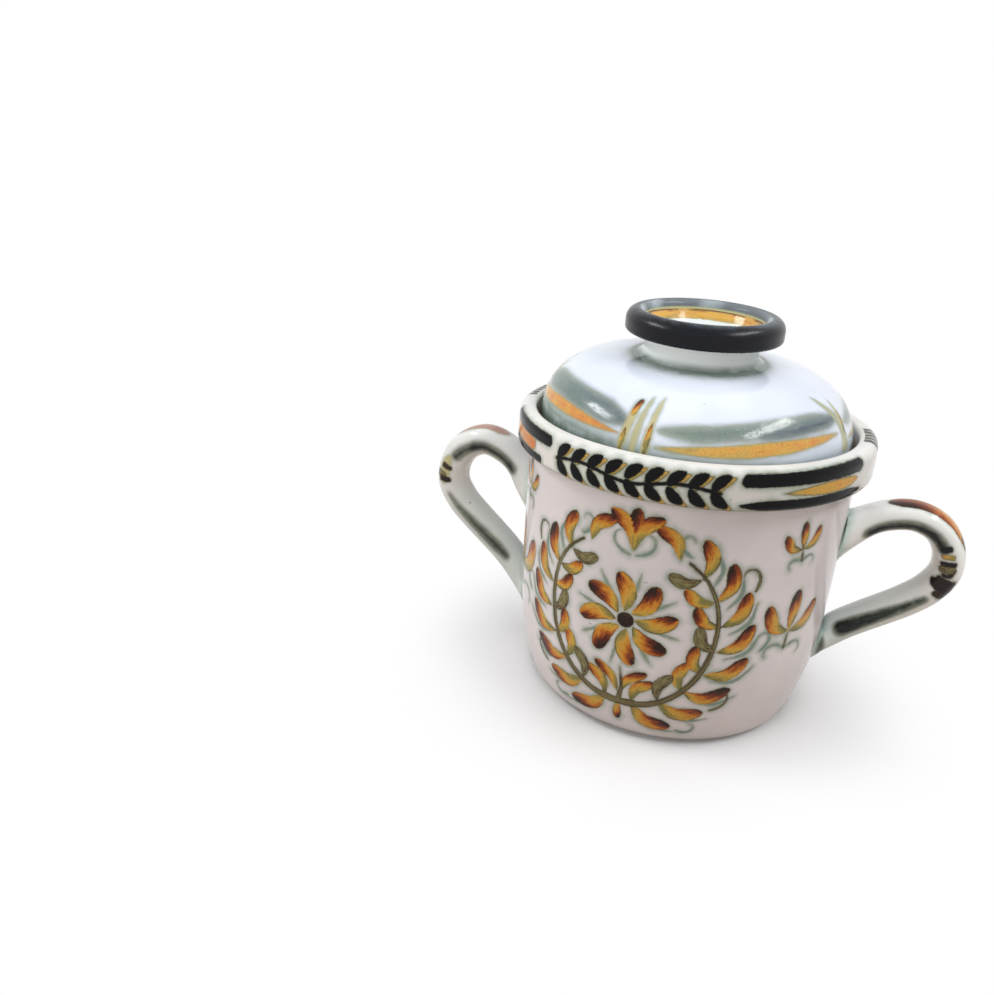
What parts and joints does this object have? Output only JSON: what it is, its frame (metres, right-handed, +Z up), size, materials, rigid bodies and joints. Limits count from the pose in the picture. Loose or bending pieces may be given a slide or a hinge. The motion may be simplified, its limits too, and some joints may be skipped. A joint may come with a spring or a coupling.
{
  "type": "salt pig",
  "caption": "Lidded salt pot with a thick collar, a domed lid with a hollow ring knob, and a strap handle on each side.",
  "frame": {"origin": "centre of the pot's foot, on the surface that it stands on", "axes": "+Z up along the pot's axis, handles along X, decorated front towards -Y"},
  "size_m": [0.1938, 0.123, 0.1398],
  "materials": {
    "painted_glaze": "gloss",
    "handle_glaze": "gloss",
    "lid_glaze": "gloss",
    "neck_glaze": "gloss",
    "dark_glaze": "gloss",
    "bare_clay": "matte"
  },
  "bodies": {
    "pot": {"pot_body": "painted_glaze", "foot_ring": "bare_clay", "rim_collar": "painted_glaze", "handle_left": "handle_glaze", "handle_right": "handle_glaze"},
    "lid": {"lid_dome": "lid_glaze", "knob_neck": "neck_glaze", "knob_ring": "dark_glaze"}
  },
  "joints": [
    {"name": "lid_lift", "type": "slide", "parent": "pot", "child": "lid", "axis": [0, 0, 1], "range_m": [0, 0.1]}
  ]
}
